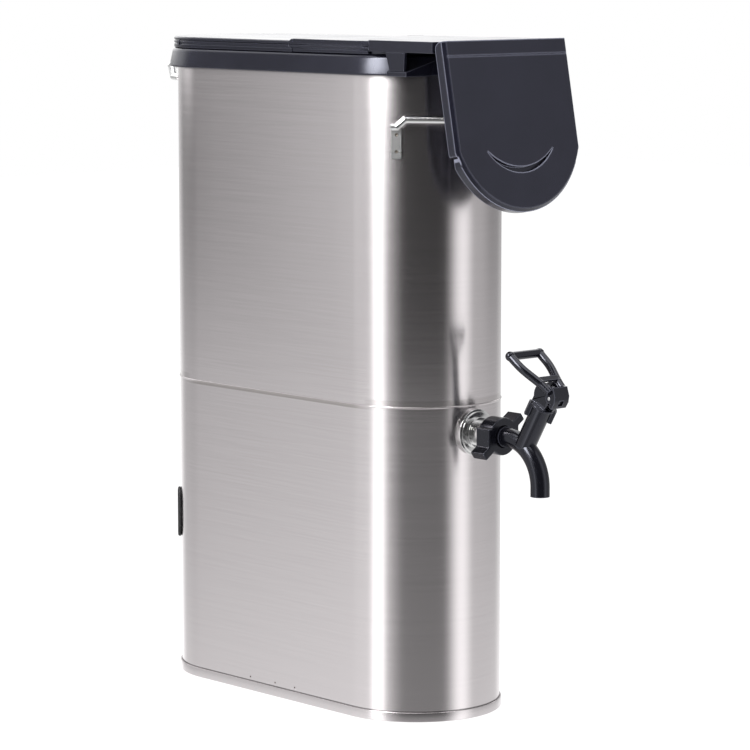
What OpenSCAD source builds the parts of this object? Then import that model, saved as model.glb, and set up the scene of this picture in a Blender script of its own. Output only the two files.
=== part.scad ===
// Narrow oval stainless drink dispenser with a lift-off lid, an apron flap and a tap.
// Millimetres, +Z up, origin on the floor at the middle of the base, front towards -Y.
// In the comments and names, u is the distance forward of the middle, so y = -u.

/* [Container] */
// Outside width of the container
tank_w = 160; // [150:1:180]
// Outside length of the container, front to back
tank_len = 386; // [360:1:440]
// Sheet thickness of the container
sheet = 1.2; // [0.8:0.1:2]
// Height of the weld between the skirt and the tank
seam_z = 296; // [288:1:310]
// How far the weld bead stands proud
bead_proud = 0.8; // [0.4:0.1:1.2]
// Height of the upturned edge of the base pan
base_h = 9; // [6:0.5:14]
// Thickness of the base pan
base_t = 1.6; // [1:0.1:2.5]

/* [Sump] */
// Outside radius of the sump cup
sump_r = 32; // [28:0.5:34]
// Width of the sump cup's flange
sump_flange = 6; // [4:0.5:6]
// Depth of the sump below the tank floor
sump_depth = 38; // [37:0.5:44]

/* [Rim] */
// Height of the rim's lower edge
rim_z = 600; // [590:1:640]
// Height of the rim
rim_h = 19; // [17:0.5:24]
// How far the rim's lower edge stands out from the tank
rim_out_low = 8.4; // [7.5:0.1:11]
// How far the rim's upper edge stands out from the tank
rim_out_top = 4.4; // [4:0.1:7]
// How far the rim reaches inside the tank wall
rim_in = 5; // [4:0.5:7]
// Depth of the rim's seat above its lower edge
rim_seat = 13; // [10:0.5:15]
// Rounding of the rim's shoulder under the lid
rim_round = 5; // [2:0.5:5.5]
// Rounding of the rim's lower edge
rim_edge = 1.6; // [0.8:0.1:2]

/* [Handles] */
// Diameter of the handle rod
rod_d = 7; // [6:0.5:9]
// Bend radius of the handle rod, at its middle
rod_bend = 10; // [8:0.5:12]
// Angle of the front handle's feet from the container's long axis
front_foot_angle = 55.5; // [52:0.5:58]
// Angle of the rear handle's feet from the container's long axis
rear_foot_angle = 30; // [26:0.5:36]
// Half length of the handle's grip
grip_half = 30; // [26:1:36]
// Clear finger room between the grip and the container
finger_gap = 20; // [18:0.5:26]
// Width of the flattened handle foot
foot_w = 9.3; // [7:0.1:10]
// Thickness of the flattened handle foot
foot_t = 3; // [2:0.25:4]
// Length of the flattened handle foot below the rod
foot_len = 29; // [24:1:36]
// Drop of the front handle's rod below the rim
front_drop = 39.5; // [30:0.5:60]
// Drop of the rear handle's rod below the rim
rear_drop = 1.5; // [0:0.5:25]
// Rise of the front handle's rod above its feet
front_rise = 6.8; // [5:0.1:9]
// Rise of the rear handle's rod above its feet
rear_rise = 10.5; // [8:0.1:12]

/* [Bumpers] */
// Height of the bumpers' middle
bumper_z = 157; // [120:1:200]
// Height of a bumper
bumper_h = 50; // [40:1:60]
// Width of a bumper
bumper_w = 24; // [18:1:30]
// How far a bumper stands proud
bumper_proud = 4; // [3:0.5:6]
// Angle of the bumpers from the container's long axis
bumper_angle = 48; // [40:1:56]

/* [Lid] */
// Height of the rear lid above the rim
lid_h = 10.6; // [9.5:0.1:12]
// How far the lid's edge stands out from the tank
lid_out = 3.5; // [2:0.5:4]
// Wall thickness of the lid mouldings
lid_wall = 3; // [2.5:0.25:3.5]
// Width and depth of the grooves along the lid's edge
lid_groove = 0.9; // [0.5:0.1:1.1]
// Depth of the lid's locating lip below the rim's top
lid_lip = 8; // [5:0.5:10]
// Clearance between the lid's lip and the rim
lid_gap = 0.4; // [0.3:0.05:0.6]
// Distance of the cover's hinge forward of the middle
cover_hinge_u = 32; // [20:1:45]
// Height of the front cover above the rear lid
cover_step = 1.7; // [1:0.1:3]
// Height of the front block above the cover
block_step = 0.8; // [0.6:0.1:3]
// Distance of the front block's start forward of the middle
block_u = 135; // [130:1:140]
// Width of the front block
block_w = 160.4; // [158:0.2:161]
// Clear height under the front block, above the rim
block_rise = 2.7; // [1:0.1:4]
// Clearance under the front cover
cover_gap = 0.3; // [0.2:0.05:0.6]
// Radius of the hinge pins
hinge_pin_r = 2; // [1.5:0.1:2.4]
// Radius of the cover's hinge knuckles
knuckle_r = 3.9; // [3.5:0.1:4.1]
// Running clearance of the pins, on the radius
pin_fit = 0.05; // [0.02:0.01:0.1]

/* [Lugs] */
// Distance of the cover's side lugs forward of the middle
lug_u = 170.5; // [166:0.5:176]
// Width of a lug at its top
lug_top = 25.5; // [22:0.5:27]
// Width of a lug at its foot
lug_foot = 19.4; // [16:0.2:21]
// How far a lug's foot sits forward of its top
lug_rake = 2.2; // [0:0.1:3]
// Thickness of a lug
lug_t = 3; // [2.5:0.25:4]
// Thickness of the shelf under a lug
shelf_t = 4.2; // [3:0.1:5]

/* [Flap] */
// Width of the apron flap
flap_w = 156.6; // [148:0.2:158]
// Length of the flap below its hinge
flap_len = 150.8; // [144:0.2:162]
// Length of the flap's straight sides below the hinge
flap_straight = 94.2; // [90:0.2:98]
// Depth of the flap's face in front of the hinge
flap_face = 6.5; // [6:0.1:7.5]
// Depth of the flap's back behind the hinge
flap_back = 5.8; // [5:0.1:6.2]
// Bevel round the flap's face
flap_bevel = 3.4; // [2.6:0.1:3.6]
// Wall thickness of the flap
flap_wall = 2.8; // [2:0.1:3.2]
// Lean of the hanging flap from the vertical
flap_lean = 11; // [8:0.5:12]
// Distance of the flap's hinge in front of the container
flap_reach = 34; // [33:0.1:38]
// Half width of the finger recess
recess_half = 41.5; // [34:0.5:42]
// Distance of the recess's tips below the hinge
recess_s = 94; // [91:0.2:97]
// Sag of the recess's upper edge
recess_sag = 16; // [13:0.1:17]
// Width of the recess at its middle
recess_w = 4.9; // [4:0.1:6]
// Depth of the finger recess
recess_depth = 5; // [3:0.5:5.5]

/* [Tap] */
// Height of the tap's axis
tap_z = 270; // [266:0.5:273]
// Radius of the tap's wall flange
tap_flange_r = 21.9; // [20:0.1:23]
// How far the wall flange stands in front of the container
tap_flange_t = 4.5; // [3.5:0.1:6]
// Radius of the shank
shank_r = 12; // [11:0.1:12.5]
// Bore radius of the shank
shank_bore = 8; // [6.5:0.1:9]
// Length of the shank in front of the wall flange
shank_len = 26.5; // [24:0.5:30]
// Radius of the nut's hub
nut_r = 17.5; // [16:0.1:19]
// Length of the nut
nut_len = 17.5; // [16:0.1:19]
// Radius of the wing tips
wing_r = 29.5; // [26:0.1:32]
// Thickness of a wing
wing_t = 8; // [6:0.5:9]
// Angle of the wings from the horizontal
wing_angle = 35; // [0:1:90]
// Thickness of the coupling washer
washer_t = 2; // [1.5:0.1:3]
// Outside radius of the spout
spout_r = 8.9; // [8:0.1:9.2]
// Bore radius of the spout
spout_bore = 6; // [4.5:0.1:6.5]
// Bend radius of the spout, at its middle
spout_bend = 42; // [40:0.5:44]
// Straight length at the spout's mouth
spout_end = 8; // [6:0.5:20]

/* [Valve] */
// Tilt of the valve barrel, forward of vertical
barrel_tilt = 30.5; // [27:0.5:33]
// Outside radius of the valve barrel
barrel_r = 9.6; // [9.3:0.1:10]
// Length of the valve barrel
barrel_len = 41; // [39:0.5:45]
// Bore radius of the valve barrel
barrel_bore = 8; // [7.5:0.1:8.2]
// Outside radius of the bonnet's collar
bonnet_r = 11.6; // [11.2:0.1:13]
// Radius of the valve stem
stem_r = 1.8; // [1.6:0.1:2]
// Wire radius of the valve spring
spring_wire = 0.5; // [0.4:0.05:0.7]
// Turns of the valve spring
spring_turns = 6; // [4:1:8]

/* [Lever] */
// Offset of the lever's pivot in front of the barrel's axis
pivot_off = 9.5; // [9:0.5:11]
// Distance of the lever's pivot along the barrel's axis
pivot_d = 58; // [56.5:0.5:61]
// Radius of the lever's pin
lever_pin_r = 1.6; // [1.3:0.1:1.8]
// Diameter of the stirrup's bar
loop_d = 8; // [7:0.25:8.5]
// Half width of the stirrup
loop_half = 18.6; // [17:0.2:21]
// Length of the stirrup
loop_len = 52; // [50:0.5:54]
// Slope of the stirrup, below the horizontal
loop_slope = 36; // [33:0.5:39]

/* [Hidden] */
$fn = 96;
eps = 0.01;
bend_lap = 0.15;
bend_slack = 0.04;
steel = "#c6c5c2";
black = "#2d2e33";
rubber = "#1d1d1f";

// Container
end_r = tank_w / 2;
hs = (tank_len - tank_w) / 2;
front_u = tank_len / 2;
in_r = end_r - sheet;
weld_gap = 0.1;
rim_top = rim_z + rim_h;
tank_top = rim_z + rim_seat;
floor_z = seam_z - sheet;
sump_u = hs + in_r - sump_r - sump_flange - 1;
sump_z = floor_z - sump_depth;

// Handles
rod_r = rod_d / 2;
grip_u = front_u + finger_gap + rod_r;
rise_run = 8;

// Lid
lid_top = rim_top + lid_h;
lid_r = end_r + lid_out;
lip_r = end_r - rim_in - lid_gap;
cover_top = lid_top + cover_step;
block_top = cover_top + block_step;
block_half = block_w / 2;
block_z = rim_top + block_rise;
cover_z = rim_top + cover_gap;
groove_rise = [3.4, 6.6];
cover_hinge_z = lid_top - 2.8;
hinge_room = knuckle_r + 0.8;
rear_edge_u = cover_hinge_u - hinge_room;
cover_edge_u = cover_hinge_u + hinge_room;
knuckle_half = 60;
knuckle_w = 30;
knuckle_gap = 0.4;
side_disc_r = hinge_room - 0.4;
side_in = knuckle_half + 2.4;
flap_u = front_u + flap_reach;
flap_z = cover_top - 5.4;
block_front_u = flap_u - flap_face - 0.6;
flap_pin_half = flap_w / 2 - 4.5;
eye_r = 4.4;
eye_lo = 44;
eye_hi = 56;
eye_gap = 0.4;
eye_neck = 4;
lug_x = block_half - 0.2;
lug_z = rim_z + shelf_t + cover_gap;

// Flap
flap_arc_r = (pow(flap_w / 2, 2) + pow(flap_len - flap_straight, 2)) / (2 * (flap_len - flap_straight));
recess_up_r = (pow(recess_half, 2) + pow(recess_sag, 2)) / (2 * recess_sag);
recess_low_sag = recess_sag + recess_w;
recess_low_r = (pow(recess_half, 2) + pow(recess_low_sag, 2)) / (2 * recess_low_sag);
flap_rise = 6.3;
seam_s = 7.4;
seam_w = 0.8;

// Tap
flange_u = front_u + tap_flange_t;
shank_end_u = flange_u + shank_len;
tail_u = shank_end_u + washer_t;
tail_flange_t = 3;
tail_flange_r = shank_r - 0.3;
nut_lip_gap = 0.3;
nut_front_u = tail_u + tail_flange_t + nut_lip_gap + 2.8;
nut_rear_u = nut_front_u - nut_len;
tail_r = spout_r + 0.6;
bend_u = nut_front_u + 5;
spout_u = bend_u + spout_bend;
spout_z = tap_z - spout_bend;
barrel_u = spout_u - 18.1;
barrel_z = tap_z - 2.6;

// Valve and lever, in the barrel's own frame: z along its axis, -y to the front
bonnet_t = 4;
bonnet_top = barrel_len + 2;
cheek_lo = 4.4;
cheek_hi = 6.2;
arm_lo = 6.5;
arm_hi = 9.3;
side_gap = 0.3;
dome_d = pivot_d - 4;
dome_r = 12.2;
dome_front = 7.5;
finger_top = pivot_d - 0.8;
head_d = finger_top + 0.3;
head_t = 2.5;
head_half = 4.5;
seat_d = 3;
port_r = 4.5;
seat_len = 13;
seat_r = barrel_bore - 0.3;
spring_r = 4.6;
loop_back = 40.1;
loop_rise = 35.7;
arm_r = 3.2;
arm_bend = [loop_half - 0.4, -17];
arm_knee = [11, -39];
arm_foot = [arm_lo + arm_r, 0.5 - loop_len];
web_s = 39;

// Lid screws
screw_shank_r = 1.5;
screw_head_r = 2.6;
screw_head_t = 0.9;
screw_turn = 20;

// Sweeps a profile in (r, z) right round the oval
module oval_sweep() {
    for (a = [0, 180])
        rotate([0, 0, a]) translate([0, hs, 0]) rotate_extrude(angle = 180) children();
    for (s = [0, 1])
        mirror([s, 0, 0]) translate([0, hs, 0]) rotate([90, 0, 0]) linear_extrude(2 * hs) children();
}

// Sweeps a profile in (r, z) round the rear end, and forward as far as u
module rear_sweep(u) {
    translate([0, hs, 0]) rotate_extrude(angle = 180) children();
    for (s = [0, 1])
        mirror([s, 0, 0]) translate([0, hs, 0]) rotate([90, 0, 0]) linear_extrude(hs + u) children();
}

// Extrudes a side view in (u, z) across the container, from x0 to x1
module across(x0, x1) {
    translate([x1, 0, 0]) rotate([90, 0, -90]) linear_extrude(x1 - x0) children();
}

// Extrudes a side view in (u, z) across the container, the same on both sides
module both_sides(x0, x1) {
    for (s = [0, 1])
        mirror([s, 0, 0]) across(x0, x1) children();
}

// A cylinder along X through the point (u, z)
module pin_x(u, z, r, x0, x1) {
    translate([x0, -u, z]) rotate([0, 90, 0]) cylinder(h = x1 - x0, r = r);
}

// A cylinder along the tap's axis, from u0 forward to u1
module pin_u(u0, u1, r) {
    translate([0, -u0, tap_z]) rotate([90, 0, 0]) cylinder(h = u1 - u0, r = r);
}

// Unit vector from a to b, and the angle that the path turns at point i
function unit(a, b) = (b - a) / norm(b - a);
function heading(d) = atan2(d[1], d[0]);
function turn(p, i) = let (t = heading(unit(p[i], p[i + 1])) - heading(unit(p[i - 1], p[i])))
    t > 180 ? t - 360 : (t < -180 ? t + 360 : t);
function trim(p, i, bend) = i == 0 || i == len(p) - 1 ? 0 : bend * tan(abs(turn(p, i)) / 2);

// A round rod along a flat path of points, with true bends at the corners
module rod_path(p, r, bend) {
    for (i = [0 : len(p) - 2]) {
        d = unit(p[i], p[i + 1]);
        a = p[i] + d * max(trim(p, i, bend) - bend_lap, 0);
        b = p[i + 1] - d * max(trim(p, i + 1, bend) - bend_lap, 0);
        translate([a[0], a[1], 0]) rotate([0, 90, heading(d)]) cylinder(h = norm(b - a), r = r);
    }
    for (i = [1 : len(p) - 2]) {
        d = unit(p[i - 1], p[i]);
        t = turn(p, i);
        side = t > 0 ? 1 : -1;
        start = p[i] - d * trim(p, i, bend);
        centre = start + side * bend * [-d[1], d[0]];
        from = heading(start - centre) + min(t, 0);
        translate([centre[0], centre[1], 0]) rotate([0, 0, from])
            rotate_extrude(angle = abs(t)) translate([bend, 0]) circle(r - bend_slack);
    }
}

module base_pan() {
    color(steel) oval_sweep() {
        square([end_r + weld_gap + base_t, base_t]);
        translate([end_r + weld_gap, 0]) square([base_t, base_h]);
    }
}

module lower_skirt() {
    color(steel) difference() {
        oval_sweep() {
            translate([in_r, base_t]) square([sheet, seam_z - base_t]);
            translate([end_r - eps, seam_z - bead_proud]) intersection() {
                circle(bead_proud);
                translate([0, -bead_proud]) square(2 * bead_proud);
            }
        }
        pin_u(hs, front_u + 1, shank_r + weld_gap);
    }
}

module upper_tank() {
    color(steel) oval_sweep() translate([in_r, seam_z]) square([sheet, tank_top - seam_z]);
}

module tank_floor() {
    color(steel) difference() {
        oval_sweep() translate([0, floor_z]) square([in_r - weld_gap, sheet]);
        translate([0, -sump_u, floor_z - 1]) cylinder(h = sheet + 2, r = sump_r - sheet);
    }
}

module sump_cup() {
    color(steel) difference() {
        translate([0, -sump_u, 0]) rotate_extrude() {
            translate([0, sump_z]) square([sump_r, sheet]);
            translate([sump_r - sheet, sump_z]) square([sheet, sump_depth]);
            translate([sump_r - sheet, floor_z - sheet]) square([sump_flange + sheet, sheet]);
        }
        pin_u(sump_u, front_u, shank_r + weld_gap);
    }
}

// Half width at u of a curve just inside the rim's outer face
function rim_x(u) = sqrt(pow(end_r + 2, 2) - pow(u - hs, 2));

// Shelf under one lug of the front cover, with a gusset before it and one behind
module lug_shelf() {
    shelf_x = lug_x + 0.6;
    gusset_t = 2.4;
    u0 = lug_u + lug_rake - lug_foot / 2 - 3.2;
    u1 = lug_u + lug_rake + lug_foot / 2 + 1.2;
    across(rim_x(u1 + gusset_t), shelf_x) translate([u0, rim_z]) square([u1 - u0 + 1, shelf_t]);
    for (g = [[u0, rim_h - 9], [u1, rim_h - 3]])
        translate([0, -g[0], rim_z]) rotate([90, 0, 0]) linear_extrude(gusset_t)
            polygon([[rim_x(g[0] + gusset_t), 0], [shelf_x, 0], [shelf_x, shelf_t],
                [rim_x(g[0] + gusset_t), g[1]]]);
}

// Slope of the rim's outer face, and the steps of a rounding whose middle is at height h, just inside that face
rim_lean = atan((rim_out_low - rim_out_top) / rim_h);
function rim_arc(h, r, from, to, steps) =
    let (mid = [end_r + rim_out_low - h * tan(rim_lean) - r / cos(rim_lean), rim_z + h])
    [for (i = [0:steps]) let (a = from + (to - from) * i / steps) mid + r * [cos(a), sin(a)]];

module rim_ring() {
    lip_low = 6;
    color(black) difference() {
        union() {
            oval_sweep() polygon(concat(
                [[end_r + weld_gap, rim_z]],
                rim_arc(rim_edge, rim_edge, -90, rim_lean, 4),
                rim_arc(rim_h - rim_round, rim_round, rim_lean, 90, 7),
                [[end_r - rim_in, rim_top], [end_r - rim_in, rim_z + lip_low],
                [in_r - weld_gap, rim_z + lip_low], [in_r - weld_gap, tank_top], [end_r + weld_gap, tank_top]]));
            for (s = [0, 1])
                mirror([s, 0, 0]) lug_shelf();
        }
        translate([0, -hs, rim_z - 1]) cylinder(h = rim_seat + 1, r = end_r + weld_gap);
    }
}

// A bent rod handle for the front end: two flattened feet on the wall and a straight grip at height z.
// The rod leaves its feet lower by the rise, which it climbs after a level run
module handle(z, angle, rise, level) {
    stand = end_r + foot_t + rod_r - 1.1;
    grip = [grip_half, -grip_u];
    foot = [stand * sin(angle), -hs - stand * cos(angle)];
    out = unit(foot, grip);
    low = foot + out * level;
    top = low + out * rise_run;
    climb = atan2(rise_run, rise);
    translate([0, 0, z]) {
        rod_path([[-top[0], top[1]], [-grip[0], grip[1]], grip, top], rod_r, rod_bend);
        for (s = [0, 1])
            mirror([s, 0, 0]) {
                translate([top[0], top[1], 0]) sphere(rod_r + 0.12);
                translate([low[0], low[1], -rise]) sphere(rod_r + 0.12);
                translate([low[0], low[1], -rise]) rotate([0, climb, heading(out)])
                    cylinder(h = norm([rise, rise_run]), r = rod_r);
                translate([foot[0], foot[1], -rise]) rotate([0, 90, heading(out)])
                    translate([0, 0, 0.4 - foot_w / 2]) cylinder(h = level + foot_w / 2, r = rod_r - 0.05);
            }
    }
    for (s = [-1, 1])
        translate([0, -hs, z - rise]) rotate([0, 0, s * angle])
            translate([-foot_w / 2, -end_r - foot_t - weld_gap, -foot_len])
                cube([foot_w, foot_t, foot_len + rod_r - 0.7]);
}

module front_handle() {
    color(steel) handle(rim_z - front_drop, front_foot_angle, front_rise, 1);
}

module rear_handle() {
    color(steel) rotate([0, 0, 180]) handle(rim_z - rear_drop, rear_foot_angle, rear_rise, 17);
}

module rear_bumpers() {
    edge = 1.2;
    color(rubber) for (s = [-1, 1])
        translate([0, hs, bumper_z]) rotate([0, 0, s * bumper_angle]) difference() {
            intersection() {
                rotate([-90, 0, 0]) linear_extrude(end_r + bumper_proud) {
                    square([bumper_w, bumper_h - bumper_w], center = true);
                    for (e = [-1, 1])
                        translate([0, e * (bumper_h - bumper_w) / 2]) circle(bumper_w / 2);
                }
                translate([0, 0, -bumper_h]) cylinder(h = 2 * bumper_h, r = end_r + bumper_proud - edge / 2);
            }
            translate([0, 0, -bumper_h]) cylinder(h = 2 * bumper_h, r = end_r + weld_gap);
        }
}

// Edge grooves of the lid, in (r, z)
module edge_grooves(r) {
    for (h = groove_rise)
        translate([r - lid_groove, rim_top + h]) square([lid_groove + 1, lid_groove]);
}

module rear_lid() {
    chamfer = 1.2;
    color(black) difference() {
        union() {
            rear_sweep(rear_edge_u) difference() {
                union() {
                    polygon([[0, lid_top - lid_wall], [0, lid_top], [lid_r - chamfer, lid_top],
                        [lid_r, lid_top - chamfer], [lid_r, lid_top - lid_wall]]);
                    translate([lid_r - lid_wall, rim_top]) square([lid_wall, lid_h - lid_wall + eps]);
                    translate([lip_r - lid_wall, rim_top - lid_lip])
                        square([lid_wall, lid_lip + lid_h - lid_wall + eps]);
                }
                edge_grooves(lid_r);
            }
            both_sides(knuckle_half - knuckle_w, knuckle_half) {
                translate([cover_hinge_u, cover_hinge_z]) circle(knuckle_r);
                translate([rear_edge_u - eps, cover_hinge_z - knuckle_r])
                    square([hinge_room, lid_top - cover_hinge_z + knuckle_r]);
            }
            // Side walls that run on under the cover's rounded ends
            both_sides(side_in, lid_r) difference() {
                translate([rear_edge_u - eps, rim_top])
                    square([hinge_room - cover_gap, cover_hinge_z - rim_top - 1.5]);
                translate([cover_hinge_u, cover_hinge_z]) circle(hinge_room);
            }
        }
        both_sides(lid_r - lid_groove, lid_r + 1) for (h = groove_rise)
            translate([0, rim_top + h]) square([cover_hinge_u, lid_groove]);
        pin_x(cover_hinge_u, cover_hinge_z, hinge_pin_r + pin_fit, -end_r, end_r);
        screw_holes(screw_shank_r + pin_fit);
    }
}

// Places children at the two lid screws, with +Z out of the lid's edge
module at_screws() {
    for (s = [0, 1])
        mirror([s, 0, 0]) translate([0, hs, rim_top + lid_h / 2 - 0.2])
            rotate([0, 0, screw_turn]) rotate([0, 90, 0]) children();
}

module screw_holes(r) {
    at_screws() cylinder(h = lid_r + 1, r = r);
}

module lid_screws() {
    color(steel) at_screws() {
        translate([0, 0, lid_r - lid_wall]) cylinder(h = lid_wall + screw_head_t, r = screw_shank_r);
        translate([0, 0, lid_r + 0.05]) cylinder(h = screw_head_t, r = screw_head_r);
    }
}

module cover_hinge_pin() {
    color(steel) pin_x(cover_hinge_u, cover_hinge_z, hinge_pin_r, -knuckle_half - 0.4, knuckle_half + 0.4);
}

// Plan of the cover at radius r, from u0 forward to u1
module cover_plan(r, u0, u1) {
    translate([-r, -hs]) square([2 * r, hs - u0]);
    intersection() {
        translate([0, -hs]) circle(r);
        translate([-r - 1, -u1]) square([2 * r + 2, u1 - hs]);
    }
}

// A layer of that plan, from z0 up to z1
module cover_layer(r, u0, u1, z0, z1) {
    translate([0, 0, z0]) linear_extrude(z1 - z0) cover_plan(r, u0, u1);
}

module cover_shell() {
    rear_wall = cover_edge_u + lid_wall;
    // Raised cover over the straight part
    difference() {
        cover_layer(lid_r, cover_edge_u, block_u + eps, cover_z, cover_top);
        cover_layer(lid_r - lid_wall, rear_wall, block_u + 1, cover_z - 1, cover_top - lid_wall);
    }
    // Rounded ends of the cover's sides, about the hinge
    both_sides(side_in, lid_r) {
        translate([cover_hinge_u, cover_hinge_z]) circle(side_disc_r);
        translate([cover_hinge_u + 1.2, cover_z]) square([hinge_room, cover_top - cover_z]);
    }
    // Round wall that closes the tank's front end, under the block
    translate([0, -hs, 0]) rotate([0, 0, 180]) rotate_extrude(angle = 180)
        translate([end_r - lid_wall - 0.5, cover_z]) square([lid_wall, block_top - cover_z - 1]);
    // Thicker front block that overhangs the round end
    difference() {
        both_sides(0, block_half) translate([block_u, block_z])
            square([block_front_u - block_u, block_top - block_z]);
        both_sides(-eps, block_half - lid_wall) translate([block_u - eps, block_z - 1])
            square([block_front_u - lid_wall - block_u, block_top - lid_wall - block_z + 1]);
    }
    // Eyes for the flap's pin
    both_sides(eye_lo, eye_hi) {
        translate([flap_u, flap_z]) circle(eye_r);
        translate([block_front_u - 1, flap_z - eye_neck / 2]) square([flap_u - block_front_u, eye_neck]);
    }
}

module front_cover() {
    color(black) difference() {
        union() {
            cover_shell();
            across(knuckle_gap - knuckle_half + knuckle_w, knuckle_half - knuckle_w - knuckle_gap) {
                translate([cover_hinge_u, cover_hinge_z]) circle(knuckle_r);
                translate([cover_hinge_u, cover_hinge_z - knuckle_r])
                    square([hinge_room + eps, cover_top - cover_hinge_z + knuckle_r - 1]);
            }
            both_sides(lug_x - lug_t, lug_x) translate([lug_u, 0]) polygon([
                [-lug_top / 2, block_z + 1], [-lug_top / 2, block_z - 0.7],
                [lug_rake - lug_foot / 2, lug_z], [lug_rake + lug_foot / 2, lug_z],
                [lug_top / 2, block_z - 0.7], [lug_top / 2, block_z + 1]]);
        }
        for (h = groove_rise)
            difference() {
                cover_layer(lid_r + 1, cover_hinge_u - hinge_room, block_u, rim_top + h, rim_top + h + lid_groove);
                cover_layer(lid_r - lid_groove, 0, block_u + 1, rim_top + h - 1, rim_top + h + lid_groove + 1);
            }
        pin_x(cover_hinge_u, cover_hinge_z, hinge_pin_r + pin_fit, eps - side_in, side_in - eps);
        pin_x(flap_u, flap_z, hinge_pin_r + pin_fit, -end_r, end_r);
    }
}

module flap_hinge_pin() {
    color(steel) pin_x(flap_u, flap_z, hinge_pin_r, -flap_pin_half, flap_pin_half);
}

// Front view of the flap in (x, s), s measured down from the hinge, drawn in by d
module flap_outline(d) {
    arc_s = flap_len - flap_arc_r;
    translate([d - flap_w / 2, 1 - flap_straight]) square([flap_w - 2 * d, flap_straight - 1]);
    intersection() {
        translate([0, -arc_s]) circle(flap_arc_r - d);
        translate([d - flap_w / 2, -flap_len]) square([flap_w - 2 * d, flap_len - flap_straight + 4]);
    }
}

// Crescent finger recess in the same view, its two tips a little blunt
module flap_recess() {
    recess_blunt = 0.5;
    difference() {
        translate([0, recess_low_r - recess_s - recess_low_sag]) circle(recess_low_r);
        translate([0, recess_up_r - recess_s - recess_sag]) circle(recess_up_r);
        translate([-flap_w, -recess_s - recess_blunt]) square([2 * flap_w, flap_w]);
    }
}

// Slab of the flap between two depths, u1 being nearer the front
module flap_slab(u0, u1) {
    translate([0, -u0, 0]) rotate([90, 0, 0]) linear_extrude(u1 - u0) children();
}

// Front layer of the flap, set 0.3 mm into the rest, whose sides and round end slope in to the face
module flap_front() {
    low = flap_face - flap_bevel - 0.3;
    arc_s = flap_len - flap_arc_r;
    w0 = flap_w / 2 - 0.25;
    w1 = flap_w / 2 - flap_bevel;
    intersection() {
        translate([0, 0, -flap_len - 1]) linear_extrude(2 * flap_len)
            polygon([[-w0, -low], [w0, -low], [w1, -flap_face], [-w1, -flap_face]]);
        union() {
            flap_slab(low, flap_face) translate([-flap_w, -flap_straight])
                square([2 * flap_w, flap_straight + flap_rise]);
            intersection() {
                translate([0, -low, -arc_s]) rotate([90, 0, 0])
                    cylinder(h = flap_face - low, r1 = flap_arc_r - 0.1, r2 = flap_arc_r - flap_bevel + 0.3);
                flap_slab(low, flap_face) translate([-flap_w, -2 * flap_len])
                    square([2 * flap_w, 2 * flap_len - flap_straight + eps]);
            }
        }
    }
}

module front_flap() {
    ledge = flap_face - flap_bevel;
    inside = flap_face - flap_wall;
    notch_s = flap_straight + 3;
    notch_len = 10.5;
    rib_t = 2;
    color(black) translate([0, -flap_u, flap_z]) rotate([-flap_lean, 0, 0]) difference() {
        union() {
            difference() {
                union() {
                    flap_slab(-flap_back, ledge) flap_outline(0);
                    flap_front();
                    flap_slab(-0.5, ledge) translate([-flap_w / 2, -1]) square([flap_w, 1 + flap_rise]);
                    intersection() {
                        pin_x(0, 0, flap_back - 0.2, -flap_w / 2, flap_w / 2);
                        flap_slab(-flap_back - 1, ledge - 0.4) translate([-flap_w, -2]) square([2 * flap_w, 12]);
                    }
                }
                flap_slab(-flap_back - 1, inside) difference() {
                    flap_outline(flap_wall + 0.9);
                    translate([-flap_w, -flap_face - 2.5]) square([2 * flap_w, flap_w]);
                }
                for (s = [0, 1])
                    mirror([s, 0, 0]) flap_slab(-flap_back - 1, ledge)
                        translate([flap_w / 2 - 2 * flap_wall, -notch_s - notch_len])
                            square([3 * flap_wall, notch_len]);
            }
            for (x = [-26, 26])
                flap_slab(-flap_back + 2, inside + eps) translate([x - rib_t / 2, 1 - flap_len + 12])
                    square([rib_t, flap_len - 20]);
            flap_slab(inside - recess_depth, inside + eps)
                translate([-recess_half - 3, -recess_s - recess_low_sag - 3])
                    square([2 * recess_half + 6, recess_low_sag + 6]);
        }
        flap_slab(flap_face - recess_depth, flap_face + 1) flap_recess();
        flap_slab(flap_face - seam_w, flap_face + 1) translate([-flap_w, -seam_s - seam_w])
            square([2 * flap_w, seam_w]);
        pin_x(0, 0, hinge_pin_r + pin_fit, -flap_pin_half - 0.3, flap_pin_half + 0.3);
        both_sides(eye_lo - eye_gap, eye_hi + eye_gap) {
            circle(eye_r + eye_gap);
            translate([-2 * flap_face, -eye_neck]) square([2 * flap_face + eye_neck / 2 + eye_gap, 3 * flap_face]);
        }
    }
}

module faucet_flange() {
    step_r = tap_flange_r - 2.5;
    step_t = 1.2;
    color(steel) difference() {
        union() {
            pin_u(hs, flange_u - step_t, tap_flange_r);
            pin_u(hs, flange_u, step_r);
        }
        translate([0, -hs, 0]) cylinder(h = 2 * tap_z, r = end_r + weld_gap);
        pin_u(hs - 1, flange_u + 1, shank_r + weld_gap);
    }
}

module faucet_shank() {
    collar_r = shank_r + 2.5;
    collar_t = 3;
    color(steel) difference() {
        union() {
            pin_u(sump_u + sump_r - 8, shank_end_u, shank_r);
            pin_u(flange_u, flange_u + collar_t, collar_r);
        }
        pin_u(sump_u, shank_end_u + 1, shank_bore);
    }
}

module coupling_washer() {
    color(rubber) difference() {
        pin_u(shank_end_u, tail_u, tail_flange_r);
        pin_u(shank_end_u - 1, tail_u + 1, shank_bore);
    }
}

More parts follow.
